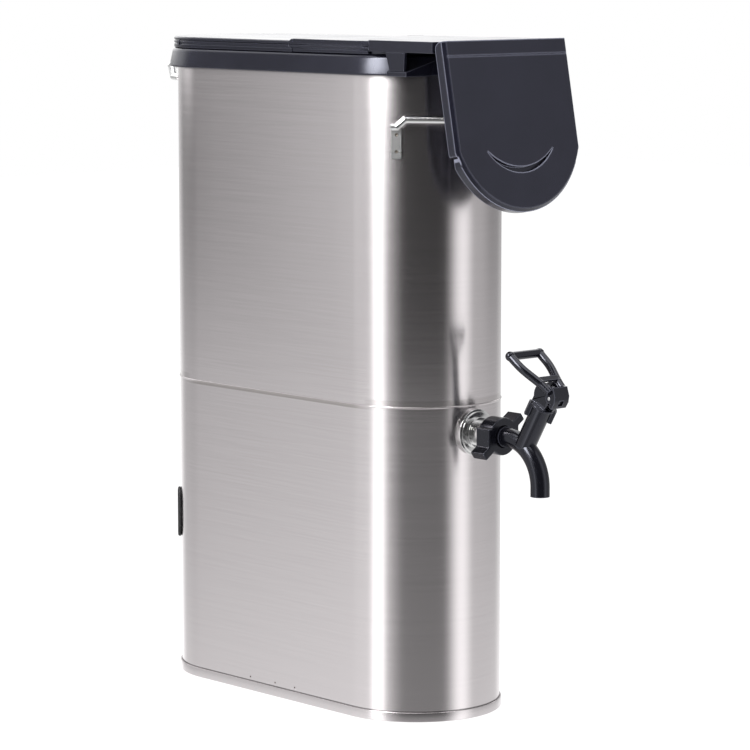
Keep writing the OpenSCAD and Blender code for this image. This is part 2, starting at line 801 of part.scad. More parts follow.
module wing_nut() {
    pad_half = 8.5;
    pad_t = 1.6;
    color(black) difference() {
        union() {
            pin_u(nut_rear_u, nut_front_u, nut_r);
            translate([0, -nut_rear_u, tap_z]) rotate([90, 0, 0]) linear_extrude(nut_len) {
                for (a = [wing_angle, wing_angle + 180])
                    rotate(a) translate([0, -wing_t / 2]) square([wing_r, wing_t]);
                for (a = [0, 180])
                    rotate(a) translate([0, -pad_half]) square([nut_r + pad_t, 2 * pad_half]);
            }
        }
        pin_u(nut_rear_u - 1, nut_front_u - 2.8, shank_r + pin_fit);
        pin_u(nut_rear_u, nut_front_u + 1, tail_r + 0.4);
    }
}

// Places children in the valve barrel's frame
module at_barrel() {
    translate([0, -barrel_u, barrel_z]) rotate([barrel_tilt, 0, 0]) children();
}

// Bent tube along the spout, of the given radius
module spout_tube(r, over) {
    translate([0, -bend_u, spout_z]) rotate([0, -90, 0]) rotate([0, 0, -90])
        rotate_extrude(angle = 90) translate([spout_bend, 0]) circle(r);
    translate([0, -spout_u, spout_z - spout_end - over]) cylinder(h = spout_end + over, r = r);
}

module faucet_body() {
    color(black) difference() {
        union() {
            pin_u(tail_u, tail_u + tail_flange_t, tail_flange_r);
            pin_u(tail_u, bend_u - 3, tail_r);
            pin_u(tail_u, bend_u, spout_r);
            spout_tube(spout_r, 0);
            at_barrel() translate([0, 0, -4]) cylinder(h = barrel_len + 4, r = barrel_r);
        }
        pin_u(tail_u - 1, bend_u, spout_bore);
        spout_tube(spout_bore, 1);
        at_barrel() {
            translate([0, 0, seat_d]) cylinder(h = barrel_len, r = barrel_bore);
            translate([0, 0, -3]) cylinder(h = barrel_len, r = port_r);
        }
    }
}

// Side view of the bonnet's cheeks, in the barrel's frame as (forward, along the axis)
module cheek_view() {
    intersection() {
        union() {
            translate([0, dome_d]) circle(dome_r);
            translate([2 - dome_r, bonnet_top - 1]) square([2 * dome_r - 4, dome_d - bonnet_top]);
        }
        translate([-2 * dome_r, 0]) square([2 * dome_r + dome_front, 2 * pivot_d]);
    }
    translate([pivot_off, pivot_d]) circle(lever_pin_r + 2);
    translate([0, pivot_d - lever_pin_r - 1.5]) square([pivot_off, 2 * lever_pin_r + 3]);
}

module bonnet_cap() {
    ear_len = 12;
    ear_w = 8;
    ear_t = 2;
    color(black) at_barrel() difference() {
        union() {
            translate([0, 0, barrel_len]) cylinder(h = bonnet_top - barrel_len, r = bonnet_r);
            translate([0, 0, barrel_len - bonnet_t]) cylinder(h = bonnet_t + eps, r = barrel_bore - 0.1);
            difference() {
                translate([0, 0, barrel_len - ear_len]) intersection() {
                    cylinder(h = ear_len + 1, r = bonnet_r + ear_t);
                    rotate([0, 0, 45]) translate([-ear_w / 2, -2 * bonnet_r, 0])
                        cube([ear_w, 4 * bonnet_r, ear_len + 1]);
                }
                cylinder(h = barrel_len, r = barrel_r + 0.15);
            }
            intersection() {
                both_sides(cheek_lo, cheek_hi) cheek_view();
                translate([0, 0, bonnet_top - 1]) cylinder(h = 3 * dome_r, r = 3 * dome_r);
            }
        }
        cylinder(h = barrel_len + 2 * dome_r, r = stem_r + pin_fit);
        pin_x(pivot_off, pivot_d, lever_pin_r + pin_fit, -arm_hi - 1, arm_hi + 1);
    }
}

module lever_pin() {
    color(steel) at_barrel() pin_x(pivot_off, pivot_d, lever_pin_r, -arm_hi, arm_hi);
}

// Places children in the stirrup's frame: y down its slope from the top bar, z out of its upper face
module at_loop() {
    at_barrel() translate([0, -pivot_off, pivot_d]) rotate([-barrel_tilt, 0, 0])
        translate([0, loop_back, loop_rise]) rotate([loop_slope, 0, 0]) children();
}

module tap_lever() {
    bar_r = loop_d / 2;
    color(black) difference() {
        union() {
            at_loop() {
                translate([-loop_half, 0, 0]) rotate([0, 90, 0]) cylinder(h = 2 * loop_half, r = bar_r);
                for (s = [0, 1])
                    mirror([s, 0, 0]) lever_arm(bar_r);
                translate([-arm_knee[0], -web_s, 1.7]) cube([2 * arm_knee[0], 5.5, 2.1]);
            }
            at_barrel() {
                both_sides(arm_lo, arm_hi) lever_side();
                across(-arm_hi, arm_hi) lever_yoke();
                across(-cheek_lo + side_gap, cheek_lo - side_gap) lever_hub();
                both_sides(stem_r + side_gap, cheek_lo - side_gap) lift_finger();
            }
        }
        at_barrel() {
            pin_x(pivot_off, pivot_d, lever_pin_r + pin_fit, -arm_hi - 1, arm_hi + 1);
            across(-3, 3) lever_windows();
        }
    }
}

// One arm of the stirrup: a bent rod from the top bar's ball, then a taper down to the side plate
module lever_arm(r) {
    d = unit(arm_knee, arm_foot);
    rod_path([[loop_half, 0], arm_bend, arm_knee], r, 50);
    translate([loop_half, 0, 0]) sphere(r + 0.6);
    translate([arm_knee[0], arm_knee[1], 0]) {
        sphere(r + 0.1);
        rotate([0, 90, heading(d)]) cylinder(h = norm(arm_foot - arm_knee), r1 = r, r2 = arm_r);
    }
}

// Side views of the lever, in the barrel's frame: a side plate, the yoke in front, its window and the hub
module lever_side() {
    translate([pivot_off, pivot_d]) {
        circle(lever_pin_r + 2.6);
        polygon([[-3.6, -1.5], [3, -2.6], [4.6, -6.5], [7.4, -6.5], [7.8, 0], [5.6, 5.6], [-1, 11.5], [-6, 9], [-5, 3]]);
    }
}

module lever_yoke() {
    translate([pivot_off, pivot_d])
        polygon([[4.6, -6.5], [7.4, -6.5], [7.8, 0], [5.6, 5.6], [-1, 11.5], [-4, 8], [1.6, 5.2], [4.2, 2]]);
}

module lever_windows() {
    translate([pivot_off, pivot_d]) {
        translate([5.9, -4]) square([4, 5.5]);
    }
}

module lever_hub() {
    translate([pivot_off, pivot_d]) {
        circle(lever_pin_r + 2.4);
        translate([0, -2.2]) square([5.4, 4.4]);
    }
}

// Side view of the finger that lifts the stem's head
module lift_finger() {
    translate([-head_half, finger_top - 2.4]) square([pivot_off + head_half, 2.4]);
}

module valve_stem() {
    color(steel) at_barrel() {
        translate([0, 0, seat_d + 4]) cylinder(h = head_d - seat_d - 4 + eps, r = stem_r);
        across(-cheek_lo + side_gap, cheek_lo - side_gap) translate([-head_half, head_d])
            square([head_half + stem_r + 0.4, head_t]);
    }
}

module seat_cup() {
    color(rubber) at_barrel() difference() {
        translate([0, 0, seat_d]) cylinder(h = seat_len, r = seat_r);
        translate([0, 0, seat_d + 4]) cylinder(h = seat_len, r = stem_r + pin_fit);
    }
}

// Points of the spring's wire: ring i of n, corner j of m, round a helix of the given rise
function coil_point(i, j, n, m, rise) = let (
    a = 360 * spring_turns * i / n,
    b = 360 * j / m,
    r = spring_r + spring_wire * cos(b))
    [r * cos(a), r * sin(a), rise * i / n + spring_wire * sin(b)];

module valve_spring() {
    n = spring_turns * 10;
    m = 6;
    z0 = seat_d + seat_len + spring_wire + 0.1;
    rise = barrel_len - bonnet_t - spring_wire - 0.1 - z0;
    points = [for (i = [0 : n]) for (j = [0 : m - 1]) coil_point(i, j, n, m, rise)];
    sides = [for (i = [0 : n - 1]) for (j = [0 : m - 1]) for (k = [0, 1])
        let (a = i * m + j, b = i * m + (j + 1) % m)
            k == 0 ? [a, b + m, b] : [a, a + m, b + m]];
    first = [for (j = [1 : m - 2]) [0, j, j + 1]];
    last = [for (j = [1 : m - 2]) [n * m, n * m + j + 1, n * m + j]];
    color(steel) at_barrel() translate([0, 0, z0]) polyhedron(points, concat(sides, first, last));
}

base_pan();
lower_skirt();
upper_tank();
tank_floor();
sump_cup();
rim_ring();
front_handle();
rear_handle();
rear_bumpers();
rear_lid();
lid_screws();
cover_hinge_pin();
front_cover();
flap_hinge_pin();
front_flap();
faucet_flange();
faucet_shank();
coupling_washer();
wing_nut();
faucet_body();
bonnet_cap();
lever_pin();
tap_lever();
valve_stem();
seat_cup();
valve_spring();
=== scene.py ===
"""Finishes, fine pieces and a plain studio for a narrow oval drink dispenser."""

import math

import bmesh
import bpy
from mathutils import Matrix, Vector


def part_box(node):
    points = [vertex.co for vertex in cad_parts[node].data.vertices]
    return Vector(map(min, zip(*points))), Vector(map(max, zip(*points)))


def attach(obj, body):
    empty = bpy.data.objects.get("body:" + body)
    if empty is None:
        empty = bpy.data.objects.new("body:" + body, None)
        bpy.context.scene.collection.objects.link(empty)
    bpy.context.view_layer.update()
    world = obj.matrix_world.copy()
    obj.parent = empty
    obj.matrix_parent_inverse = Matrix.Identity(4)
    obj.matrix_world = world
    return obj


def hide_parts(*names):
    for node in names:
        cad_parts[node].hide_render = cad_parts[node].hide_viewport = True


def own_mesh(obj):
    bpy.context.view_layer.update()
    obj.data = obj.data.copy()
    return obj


bl_info = {
    "name": "Drink Dispenser Finishes",
    "version": (1, 0, 0),
    "blender": (4, 5, 0),
    "location": "3D View > Sidebar > Dispenser",
    "description": "Dresses the packed drink dispenser and sets it in a plain studio",
    "category": "Object",
}

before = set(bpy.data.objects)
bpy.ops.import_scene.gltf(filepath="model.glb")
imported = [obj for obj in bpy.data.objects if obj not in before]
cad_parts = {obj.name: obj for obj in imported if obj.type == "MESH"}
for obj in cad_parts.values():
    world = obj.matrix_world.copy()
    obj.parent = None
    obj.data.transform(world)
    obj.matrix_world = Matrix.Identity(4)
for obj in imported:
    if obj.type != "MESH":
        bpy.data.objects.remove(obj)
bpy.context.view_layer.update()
MM = 0.001

# Sizes that the sheet pieces share with the solids: the oval's round ends and straight sides, the
# sheet, the seam between the skirt and the tank, the tank's top, and the base's pan
END_R = 80.0 * MM
HALF_STRAIGHT = 113.0 * MM
SHEET = 1.2 * MM
SEAM_Z = 296.0 * MM
SEAM_BEAD = 0.8 * MM
TANK_TOP = 613.0 * MM
BASE_T = 1.6 * MM
BASE_H = 9.0 * MM
WELD_GAP = 0.1 * MM
# The handles' feet: how far round the ends they stand, their thickness and their length
FRONT_FOOT = math.radians(55.5)
REAR_FOOT = math.radians(30.0)
FOOT_T = 3.0 * MM
FOOT_LEN = 27.5 * MM

# Rounding of the sheets' edges, and of the hollow under the seam's bead
TANK_LIP = 0.25 * MM
BEAD_HOLLOW = 0.4 * MM
BASE_FOOT = 0.7 * MM
BASE_LIP_OUT = 0.6 * MM
BASE_LIP_IN = 0.5 * MM
BASE_CORNER = 0.3 * MM
# How far the base's floor runs in before it is filled straight across
BASE_REACH = 20.0 * MM
# Steps of the sheets: round each end, along each side, round a corner, and degrees round the bead
ARC_STEPS = 72
SIDE_STEPS = 8
CORNER_STEPS = 4
BEAD_DEGREES = range(-60, 91, 15)

# Weld marks: three tacks on each side above the base, and two spots on each foot of the handles
TACK_Z = 13.0 * MM
TACK_ALONG = (36.2 * MM, -0.5 * MM, -29.2 * MM)
TACK_R = 0.9 * MM
FRONT_SPOTS = (6.5 * MM, 21.7 * MM)
REAR_SPOTS = (6.5 * MM, 17.0 * MM)
SPOT_R = 1.7 * MM
# A mark's outline from its rim to its middle, as radius and height in parts of its radius
MARK_OUTLINE = ((1.0, -0.1), (0.94, 0.12), (0.78, 0.2), (0.6, 0.14), (0.4, 0.05), (0.15, 0.02))
MARK_STEPS = 20

# Painted shade mixed with heat tint along the seam weld, and painted shade in the joint above the
# base, each band as the height of its middle, half its height and the height of its soft edge
BEAD_TINT_AND_SHADE_BAND = (SEAM_Z - 2.3 * MM, 1.5 * MM, 0.5 * MM)
BESIDE_TINT_AND_SHADE_BAND = (SEAM_Z + 2.6 * MM, 1.6 * MM, 2.4 * MM)
JOINT_SHADE_BAND = (BASE_H + 0.45 * MM, 0.4 * MM, 0.35 * MM)
# The bead's heat tint and painted shade are full on the sides and nearly gone where the ends have
# turned away from the light
SIDE_FADE = (HALF_STRAIGHT - 4.0 * MM, HALF_STRAIGHT + 24.0 * MM)
END_SHARE = 0.12
# The heat tint and painted shade beside the bead show only where the bead's share is below this one
BESIDE_TINT_AND_SHADE_LIMIT = 0.38
BEAD_TINT_AND_SHADE_SHARE = 0.85
JOINT_SHADE_SHARE = 0.62
FLECK_SCALE = 620.0

# Range of a noise that the finishes use
NOISE_LOW = 0.3
NOISE_HIGH = 0.7
# Openness seen from inside the surface, on the flat and at a square edge
OPEN_FLAT = 0.93
OPEN_EDGE = 0.58
# Brush lines in a metre of sheet, rod and weld mark
SHEET_LINES = 1400.0
ROD_LINES = 700.0
MARK_LINES = 900.0
# The handles' feet are duller than their rods
FOOT_DULL = 0.085
FOOT_BLEND = 2.0 * MM

# Softened edges: points that are one, facets that are flat, edges that are rounded or stay sharp
SAME_POINT = 0.05 * MM
FLAT_ANGLE = math.radians(0.5)
ROUND_ANGLE = math.radians(35.0)
SHARP_ANGLE = math.radians(32.0)
ROUND_STEPS = 3

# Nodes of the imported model, by the finish that they wear
INNER_SHEET = ("tank_floor", "sump_cup")
RODS = ("front_handle", "rear_handle")
BRIGHT = ("faucet_flange", "faucet_shank", "cover_hinge_pin", "flap_hinge_pin", "lever_pin",
          "valve_stem")
MOULDED = ("rim_ring", "rear_lid", "lid_screws", "front_cover")
TAP_PLASTIC = ("wing_nut", "faucet_body", "bonnet_cap", "tap_lever")
RUBBERY = ("rear_bumpers", "coupling_washer", "seat_cup")
# Nodes whose edges are rounder than those of their neighbours
ROUNDER = {"rear_bumpers": 1.6 * MM, "wing_nut": 1.2 * MM}
# Nodes whose own curves are round and finely cut, where a full width would cross itself
FINE_CUT = ("tap_lever", "front_handle", "rear_handle", "rim_ring", "faucet_body")


class DispenserColours(bpy.types.PropertyGroup):
    """Colours of the finishes"""

    steel: bpy.props.FloatVectorProperty(
        name="Steel", description="Colour of the brushed steel", subtype="COLOR",
        size=3, min=0.0, max=1.0, default=(0.70, 0.662, 0.672))
    bright: bpy.props.FloatVectorProperty(
        name="Bright Steel", description="Colour of the rods and the polished fittings",
        subtype="COLOR", size=3, min=0.0, max=1.0, default=(0.74, 0.74, 0.74))
    plastic: bpy.props.FloatVectorProperty(
        name="Plastic", description="Colour of the charcoal mouldings", subtype="COLOR",
        size=3, min=0.0, max=1.0, default=(0.0105, 0.0105, 0.0195))
    tap_plastic: bpy.props.FloatVectorProperty(
        name="Tap Plastic", description="Colour of the black tap", subtype="COLOR",
        size=3, min=0.0, max=1.0, default=(0.0055, 0.0055, 0.0085))
    rubber: bpy.props.FloatVectorProperty(
        name="Rubber", description="Colour of the rubber pieces", subtype="COLOR",
        size=3, min=0.0, max=1.0, default=(0.014, 0.014, 0.015))
    # The next two colours are painted highlights along the mouldings' and the flap's edges
    edge_highlight: bpy.props.FloatVectorProperty(
        name="Plastic Edge Highlight", description="Colour painted along the mouldings' edges as a highlight",
        subtype="COLOR", size=3, min=0.0, max=1.0, default=(0.075, 0.077, 0.1))
    flap_edge_highlight: bpy.props.FloatVectorProperty(
        name="Flap Edge Highlight", description="Colour painted along the flap's edges as a highlight", subtype="COLOR",
        size=3, min=0.0, max=1.0, default=(0.34, 0.35, 0.45))
    # Heat tint of the seam weld, which also stands in for painted shade along it
    seam_tint_and_shade: bpy.props.FloatVectorProperty(
        name="Seam Tint and Shade", description="Colour of the seam weld's heat tint and painted shade", subtype="COLOR",
        size=3, min=0.0, max=1.0, default=(0.36, 0.335, 0.315))
    heat_mark: bpy.props.FloatVectorProperty(
        name="Heat Mark", description="Colour of the small weld marks", subtype="COLOR",
        size=3, min=0.0, max=1.0, default=(0.16, 0.14, 0.125))
    # Painted shade in the joint between the skirt and the base
    joint_shade: bpy.props.FloatVectorProperty(
        name="Base Joint Shade", description="Colour of the painted shade in the joint above the base", subtype="COLOR",
        size=3, min=0.0, max=1.0, default=(0.09, 0.09, 0.09))
    floor: bpy.props.FloatVectorProperty(
        name="Floor", description="Colour of the studio floor", subtype="COLOR",
        size=3, min=0.0, max=1.0, default=(0.86, 0.86, 0.86))


class DispenserSizes(bpy.types.PropertyGroup):
    """Sizes of the softened edges"""

    edge: bpy.props.FloatProperty(
        name="Moulded Edge", description="Rounding of the moulded edges", subtype="DISTANCE",
        unit="LENGTH", min=0.0001, max=0.002, default=0.45 * MM)
    sheet_edge: bpy.props.FloatProperty(
        name="Sheet Edge", description="Rounding of the steel edges", subtype="DISTANCE",
        unit="LENGTH", min=0.0001, max=0.001, default=0.3 * MM)


def sizes():
    return bpy.context.scene.dispenser_sizes


def colours():
    return bpy.context.scene.dispenser_colours


class Nodes:
    """Short ways to add nodes and links to a node tree."""

    def __init__(self, tree):
        self.add = tree.nodes.new
        self.link = tree.links.new

    def feed(self, value, socket):
        """Sets a plain value on the socket, or links another node's output to it."""
        if isinstance(value, (int, float, tuple)):
            socket.default_value = value
        else:
            self.link(value, socket)

    def calc(self, operation, *values):
        node = self.add("ShaderNodeMath")
        node.operation = operation
        for socket, value in zip(node.inputs, values):
            self.feed(value, socket)
        return node.outputs["Value"]

    def plus(self, first, second):
        return self.calc("ADD", first, second)

    def minus(self, first, second):
        return self.calc("SUBTRACT", first, second)

    def times(self, first, second):
        return self.calc("MULTIPLY", first, second)

    def ramp(self, source, start, end, low=0.0, high=1.0, kind="LINEAR"):
        """Goes from low to high as source goes from start to end."""
        node = self.add("ShaderNodeMapRange")
        node.interpolation_type = kind
        node.inputs["From Min"].default_value = start
        node.inputs["From Max"].default_value = end
        node.inputs["To Min"].default_value = low
        node.inputs["To Max"].default_value = high
        self.link(source, node.inputs["Value"])
        return node.outputs["Result"]

    def ease(self, source, start, end, low=0.0, high=1.0):
        """As ramp, with a soft start and a soft end."""
        return self.ramp(source, start, end, low, high, "SMOOTHSTEP")

    def window(self, source, middle, half, soft):
        """1 within half of the middle, falling to 0 over soft."""
        off = self.calc("ABSOLUTE", self.minus(source, middle))
        return self.ease(off, half, half + soft, 1.0, 0.0)

    def blend(self, factor, first, second):
        """A colour between the first, at factor 0, and the second, at factor 1."""
        node = self.add("ShaderNodeMix")
        node.data_type = "RGBA"
        self.feed(factor, node.inputs["Factor"])
        self.feed(first, node.inputs["A"])
        self.feed(second, node.inputs["B"])
        return node.outputs["Result"]

    def noise(self, scale, detail, roughness=0.5, place=None):
        """A noise, over the given place or else over the piece's own box."""
        node = self.add("ShaderNodeTexNoise")
        self.feed(scale, node.inputs["Scale"])
        self.feed(detail, node.inputs["Detail"])
        self.feed(roughness, node.inputs["Roughness"])
        if place is not None:
            self.link(place, node.inputs["Vector"])
        return node.outputs["Fac"]

    def place(self):
        """The place on the piece, in metres."""
        return self.add("ShaderNodeTexCoord").outputs["Object"]

    def axes(self):
        """The place on the piece, as X, Y and Z."""
        apart = self.add("ShaderNodeSeparateXYZ")
        self.link(self.place(), apart.inputs["Vector"])
        return apart.outputs["X"], apart.outputs["Y"], apart.outputs["Z"]


# Shader node groups shared by the finishes


def shared_group(name, inputs, outputs, build):
    """The node group of this name, built when it is first asked for."""
    group = bpy.data.node_groups.get(name)
    if group is not None:
        return group
    group = bpy.data.node_groups.new(name, "ShaderNodeTree")
    for label, value in inputs.items():
        socket = group.interface.new_socket(
            name=label, in_out="INPUT", socket_type="NodeSocketFloat")
        socket.default_value = value
    for label in outputs:
        group.interface.new_socket(name=label, in_out="OUTPUT", socket_type="NodeSocketFloat")
    nodes = Nodes(group)
    build(nodes, nodes.add("NodeGroupInput").outputs, nodes.add("NodeGroupOutput").inputs)
    return group


def brush_grain():
    """Fine level scratches of brushed steel, from 0 to 1."""

    def build(nodes, given, result):
        stretch = nodes.add("ShaderNodeCombineXYZ")
        nodes.link(given["Length"], stretch.inputs["X"])
        nodes.link(given["Length"], stretch.inputs["Y"])
        nodes.link(given["Lines"], stretch.inputs["Z"])
        scaled = nodes.add("ShaderNodeVectorMath")
        scaled.operation = "MULTIPLY"
        nodes.link(nodes.place(), scaled.inputs[0])
        nodes.link(stretch.outputs["Vector"], scaled.inputs[1])
        scratches = nodes.noise(scale=1.0, detail=3.0, roughness=0.65,
                                place=scaled.outputs["Vector"])
        nodes.link(scratches, result["Grain"])

    return shared_group("Brush Grain", {"Lines": SHEET_LINES, "Length": 9.0}, ("Grain",), build)


def moulded_grain():
    """Fine skin and faint handling marks of a moulding, each from 0 to 1."""

    def build(nodes, given, result):
        place = nodes.place()
        skin = nodes.noise(given["Skin Scale"], detail=2.0, place=place)
        marks = nodes.noise(given["Mark Scale"], detail=5.0, roughness=0.6, place=place)
        nodes.link(skin, result["Skin"])
        nodes.link(marks, result["Marks"])

    return shared_group("Moulded Grain", {"Skin Scale": 900.0, "Mark Scale": 14.0},
                        ("Skin", "Marks"), build)


def painted_edge_highlight():
    """Painted highlight along outer edges, from 0 on the flat to 1 at a square edge."""

    def build(nodes, given, result):
        near = nodes.add("ShaderNodeAmbientOcclusion")
        near.inside = True
        near.only_local = True
        near.samples = 8
        nodes.link(given["Reach"], near.inputs["Distance"])
        nodes.link(nodes.ramp(near.outputs["AO"], OPEN_FLAT, OPEN_EDGE), result["Edge"])

    return shared_group("Painted Edge Highlight", {"Reach": 1.0 * MM}, ("Edge",), build)


# Finishes


class Finish(Nodes):
    """A new material and its shader's sockets."""

    def __init__(self, name):
        self.material = bpy.data.materials.new(name)
        self.material.use_nodes = True
        tree = self.material.node_tree
        super().__init__(tree)
        self.shader = tree.nodes["Principled BSDF"].inputs

    def set(self, **values):
        """Sets plain values on the shader's own sockets."""
        for name, value in values.items():
            self.shader[name.replace("_", " ")].default_value = value

    def group(self, tree, **values):
        """Places a shared group with its own values, and gives its outputs."""
        node = self.add("ShaderNodeGroup")
        node.node_tree = tree
        for name, value in values.items():
            node.inputs[name.replace("_", " ")].default_value = value
        return node.outputs

    def spread(self, source, low, high):
        """Goes from low to high as a noise goes over its middle range."""
        return self.ramp(source, NOISE_LOW, NOISE_HIGH, low, high)

    def tone(self, source, colour, low, high):
        """The colour, made darker or lighter by a noise."""
        dark = (*(low * c for c in colour), 1.0)
        light = (*(min(high * c, 1.0) for c in colour), 1.0)
        return self.blend(self.spread(source, 0.0, 1.0), dark, light)

    def paint(self, colour):
        self.link(colour, self.shader["Base Color"])

    def roughen(self, value):
        self.link(value, self.shader["Roughness"])

    def bump(self, source, depth, strength):
        node = self.add("ShaderNodeBump")
        node.inputs["Distance"].default_value = depth
        node.inputs["Strength"].default_value = strength
        self.link(source, node.inputs["Height"])
        self.link(node.outputs["Normal"], self.shader["Normal"])


def weld_tint_and_shade(finish, skin):
    """The skin with the dull seam weld's heat tint and painted shade, the same beside it, and
    painted shade as a dark joint above the base.
    """
    tint = (*colours().seam_tint_and_shade, 1.0)
    dark = (*colours().joint_shade, 1.0)
    along, height = finish.axes()[1:]
    on_side = finish.ease(finish.calc("ABSOLUTE", along), *SIDE_FADE, 1.0, END_SHARE)
    flecks = finish.spread(finish.noise(FLECK_SCALE, detail=3.0), low=0.5, high=1.0)
    bead = finish.times(finish.times(finish.window(height, *BEAD_TINT_AND_SHADE_BAND), on_side), flecks)
    skin = finish.blend(finish.times(bead, BEAD_TINT_AND_SHADE_SHARE), skin, tint)
    shade_beside = finish.times(finish.window(height, *BESIDE_TINT_AND_SHADE_BAND), finish.minus(BESIDE_TINT_AND_SHADE_LIMIT, on_side))
    skin = finish.blend(shade_beside, skin, tint)
    # Painted shade in the joint above the base
    joint = finish.window(height, *JOINT_SHADE_BAND)
    return finish.blend(finish.times(joint, JOINT_SHADE_SHARE), skin, dark)


def brushed_steel(name, colour, rough, streak, lines, welded=False, dull_below=None):
    """Steel brushed along the oval, with the welds' heat tint and painted shade, or duller below a
    height, if asked.
    """
    finish = Finish(name)
    grain = finish.group(brush_grain(), Lines=lines)["Grain"]
    finish.set(Metallic=1.0, Anisotropic=0.55, Anisotropic_Rotation=0.25)
    tangent = finish.add("ShaderNodeTangent")
    tangent.direction_type = "RADIAL"
    tangent.axis = "Z"
    finish.link(tangent.outputs["Tangent"], finish.shader["Tangent"])
    skin = finish.tone(grain, colour, low=1.0 - streak, high=1.0 + streak)
    finish.paint(weld_tint_and_shade(finish, skin) if welded else skin)
    dull = finish.spread(grain, low=rough - 0.02, high=rough + 0.025)
    if dull_below is not None:
        height = finish.axes()[2]
        foot = finish.ease(height, dull_below, dull_below + FOOT_BLEND, FOOT_DULL, 0.0)
        dull = finish.plus(dull, foot)
    finish.roughen(dull)
    finish.bump(grain, depth=0.02 * MM, strength=0.12)
    return finish.material


def bright_steel(name, colour):
    finish = Finish(name)
    marks = finish.group(moulded_grain(), Mark_Scale=60.0)["Marks"]
    finish.set(Metallic=1.0)
    finish.paint(finish.tone(marks, colour, low=0.94, high=1.04))
    finish.roughen(finish.spread(marks, low=0.12, high=0.22))
    return finish.material


def moulded_plastic(name, colour, rough, edge_highlight, reach=1.0 * MM):
    """Glossy plastic, with a painted highlight along its edges over the reach."""
    finish = Finish(name)
    grain = finish.group(moulded_grain())
    edge = finish.group(painted_edge_highlight(), Reach=reach)["Edge"]
    finish.set(IOR=1.5, Specular_Tint=(0.85, 0.87, 1.0, 1.0))
    skin = finish.tone(grain["Marks"], colour, low=0.88, high=1.14)
    finish.paint(finish.blend(edge, skin, (*edge_highlight, 1.0)))
    finish.roughen(finish.spread(grain["Marks"], low=rough - 0.04, high=rough + 0.06))
    finish.bump(grain["Skin"], depth=0.03 * MM, strength=0.2)
    return finish.material


def matt_rubber(name, colour):
    finish = Finish(name)
    grain = finish.group(moulded_grain(), Skin_Scale=1500.0)
    finish.paint(finish.tone(grain["Marks"], colour, low=0.8, high=1.25))
    finish.roughen(finish.spread(grain["Marks"], low=0.55, high=0.72))
    finish.bump(grain["Skin"], depth=0.05 * MM, strength=0.3)
    return finish.material


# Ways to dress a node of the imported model


def wear(piece, material):
    piece.data.materials.clear()
    piece.data.materials.append(material)


def smooth(mesh):
    mesh.polygons.foreach_set("use_smooth", [True] * len(mesh.polygons))


def soften(piece, width, clamp):
    """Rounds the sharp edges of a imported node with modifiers, so that they catch the light."""
    smooth(piece.data)
    weld = piece.modifiers.new("Weld", "WELD")
    weld.merge_threshold = SAME_POINT
    flats = piece.modifiers.new("Flats", "DECIMATE")
    flats.decimate_type = "DISSOLVE"
    flats.angle_limit = FLAT_ANGLE
    bevel = piece.modifiers.new("Edges", "BEVEL")
    bevel.width = width
    bevel.segments = ROUND_STEPS
    bevel.limit_method = "ANGLE"
    bevel.angle_limit = ROUND_ANGLE
    bevel.use_clamp_overlap = clamp
    normals = piece.modifiers.new("Normals", "WEIGHTED_NORMAL")
    normals.keep_sharp = True


def dress(nodes, material, width):
    for name in nodes:
        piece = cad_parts[name]
        wear(piece, material)
        soften(piece, ROUNDER.get(name, width), clamp=name in FINE_CUT)


def new_object(name, data):
    item = bpy.data.objects.new(name, data)
    bpy.context.scene.collection.objects.link(item)
    return item


def coil_spring(material):
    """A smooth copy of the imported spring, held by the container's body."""
    coil = new_object("coil_spring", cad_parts["valve_spring"].data.copy())
    smooth(coil.data)
    wear(coil, material)
    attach(coil, "container")
    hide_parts("valve_spring")
    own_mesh(coil)


# Sheet pieces, swept round the oval


def finished_piece(name, shape, material):
    """Turns a shape into a smooth piece with its sharp edges kept."""
    bmesh.ops.recalc_face_normals(shape, faces=shape.faces)
    mesh = bpy.data.meshes.new(name)
    for face in shape.faces:
        face.smooth = True
    shape.to_mesh(mesh)
    shape.free()
    mesh.set_sharp_from_angle(angle=SHARP_ANGLE)
    mesh.materials.append(material)
    return new_object(name, mesh)


def oval_stations():
    """Places right round the oval, each as an end's middle and the outward direction there."""
    places = []
    for middle, first in ((HALF_STRAIGHT, 0.0), (-HALF_STRAIGHT, math.pi)):
        for i in range(ARC_STEPS + 1):
            turn = first + math.pi * i / ARC_STEPS
            places.append((middle, math.cos(turn), math.sin(turn)))
        for i in range(1, SIDE_STEPS):
            along = middle - 2.0 * middle * i / SIDE_STEPS
            places.append((along, -math.cos(first), 0.0))
    return places


def rounded(corners):
    """A closed outline of radius and height, each corner given with its rounding."""
    outline = []
    for i, (r, z, fillet) in enumerate(corners):
        here = Vector((r, z))
        if fillet == 0.0:
            outline.append(here)
            continue
        before = (Vector(corners[i - 1][:2]) - here).normalized()
        after = (Vector(corners[(i + 1) % len(corners)][:2]) - here).normalized()
        half = before.angle(after) / 2.0
        reach = fillet / math.tan(half)
        middle = here + (before + after).normalized() * fillet / math.sin(half)
        start = here + before * reach - middle
        end = here + after * reach - middle
        sweep = start.angle_signed(end)
        for k in range(CORNER_STEPS + 1):
            spin = Matrix.Rotation(-sweep * k / CORNER_STEPS, 2)
            outline.append(middle + spin @ start)
    return outline


def oval_ring(name, outline, material, filled):
    """The outline swept round the oval, as a closed ring, or open and filled across its ends."""
    shape = bmesh.new()
    rings = [[shape.verts.new((x * p.x, middle + y * p.x, p.y)) for p in outline]
             for middle, x, y in oval_stations()]
    count = len(outline)
    for i, ring in enumerate(rings):
        ahead = rings[(i + 1) % len(rings)]
        for j in range(count - 1 if filled else count):
            k = (j + 1) % count
            shape.faces.new((ring[j], ahead[j], ahead[k], ring[k]))
    if filled:
        shape.faces.new([ring[-1] for ring in rings])
        shape.faces.new([ring[0] for ring in rings])
    return finished_piece(name, shape, material)


